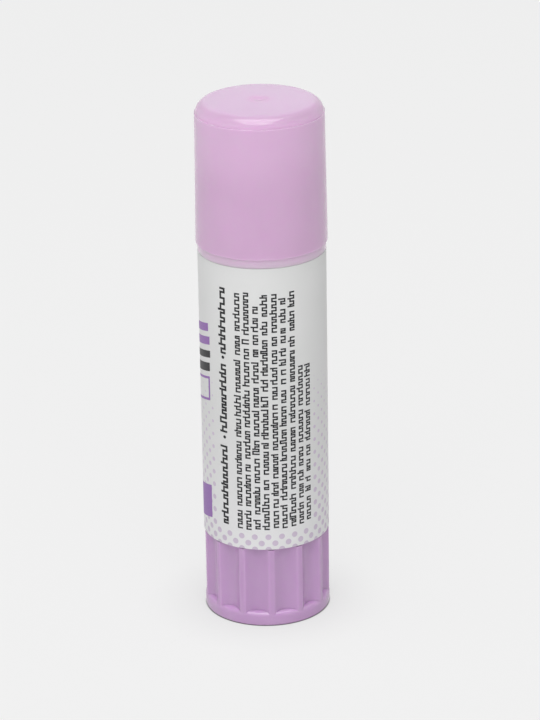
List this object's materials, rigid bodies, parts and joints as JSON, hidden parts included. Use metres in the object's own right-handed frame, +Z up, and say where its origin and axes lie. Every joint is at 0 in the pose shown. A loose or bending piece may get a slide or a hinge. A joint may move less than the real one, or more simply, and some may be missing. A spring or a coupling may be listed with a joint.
{
  "type": "glue stick",
  "caption": "Twist-up glue stick with a fluted base knob, a label-wrapped tube, a lead screw that lifts the glue, and a push-on cap.",
  "frame": {"origin": "centre of the foot, on the surface the stick stands on", "axes": "+Z up along the stick from the foot to the cap, -Y towards the viewer of the picture, +X to the viewer's right"},
  "size_m": [0.023, 0.023, 0.0945],
  "materials": {
    "cap_lilac": "satin, slightly see-through",
    "barrel_white": "satin",
    "label_film": "printed film, satin",
    "knob_lilac": "satin",
    "screw_white": "satin",
    "carrier_white": "satin",
    "glue": "waxy, slightly see-through"
  },
  "bodies": {
    "barrel": {"barrel": "barrel_white", "label": "label_film"},
    "knob": {"twist_knob": "knob_lilac", "lead_screw": "screw_white"},
    "carrier": {"carrier": "carrier_white", "glue_mass": "glue"},
    "cap": {"cap": "cap_lilac"}
  },
  "joints": [
    {"name": "knob_turn", "type": "hinge", "parent": "barrel", "child": "knob", "pos_m": [0, 0, 0], "axis": [0, 0, 1], "range_deg": [0, 3780]},
    {"name": "carrier_rise", "type": "slide", "parent": "barrel", "child": "carrier", "axis": [0, 0, 1], "range_m": [0, 0.0525]},
    {"name": "cap_pull", "type": "slide", "parent": "carrier", "child": "cap", "axis": [0, 0, 1], "range_m": [0, 0.03]}
  ],
  "couplings": [
    {"joint": "carrier_rise", "follows": "knob_turn", "m_per_rad": 0.00079577}
  ]
}
